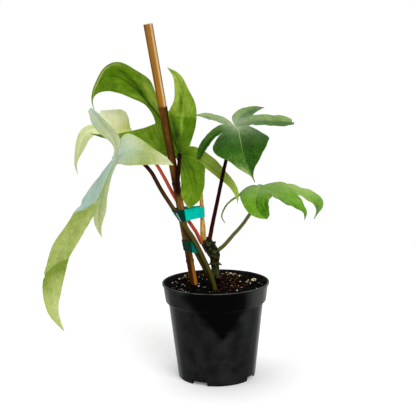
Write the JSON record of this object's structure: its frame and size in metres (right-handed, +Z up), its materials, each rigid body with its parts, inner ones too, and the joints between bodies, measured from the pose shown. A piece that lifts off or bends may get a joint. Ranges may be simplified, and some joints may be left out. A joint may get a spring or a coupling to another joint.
{
  "type": "potted florida mint philodendron",
  "caption": "Young philodendron with deeply lobed leaves in a black nursery pot, tied to a leaning bamboo cane with teal tape.",
  "frame": {"origin": "middle of the underside of the pot, on the surface that it stands on", "axes": "+Z up, -Y towards the front of the plant, from where the picture looks, and +X to the right as seen from there"},
  "size_m": [0.332, 0.1418, 0.4144],
  "materials": {
    "pot_plastic": "smooth black moulded polypropylene with a soft gloss",
    "potting_soil": "loose dark potting mix with white perlite grains and reddish bark chips",
    "bamboo": "varnished-looking bamboo cane, golden tan above and darker brown below",
    "tie_tape": "thin stretchy teal nursery tape with a soft sheen",
    "stem_bark": "gnarled dark green stem with tan leaf scars",
    "dry_sheath": "papery dry sheath, golden tan",
    "maroon_stalk": "smooth maroon-black leaf stalk with a soft gloss",
    "olive_stalk": "smooth olive leaf stalk, brown along the edges",
    "red_stalk": "smooth red-orange leaf stalk",
    "yellow_green_leaf": "soft satin leaf, yellow-green with darker veins",
    "mint_leaf": "soft satin leaf, pale mint with a bluish bloom, yellow-green on the hanging lobe",
    "pale_leaf": "soft satin young leaf, pale yellow-green",
    "dark_green_leaf": "satin leaf, dark green with pale midribs and a grey sheen",
    "bright_green_leaf": "satin leaf, bright fresh green"
  },
  "bodies": {
    "root": {"pot": "pot_plastic", "soil": "potting_soil", "stake": "bamboo", "stem": "stem_bark", "cataphyll": "dry_sheath", "petiole_1": "maroon_stalk", "petiole_2": "olive_stalk", "petiole_3": "red_stalk", "petiole_4": "maroon_stalk", "petiole_5": "olive_stalk", "leaf_1": "yellow_green_leaf", "leaf_2": "mint_leaf", "leaf_3": "pale_leaf", "leaf_4": "dark_green_leaf", "leaf_5": "bright_green_leaf", "tie_upper": "tie_tape", "tie_lower": "tie_tape"}
  },
  "joints": []
}
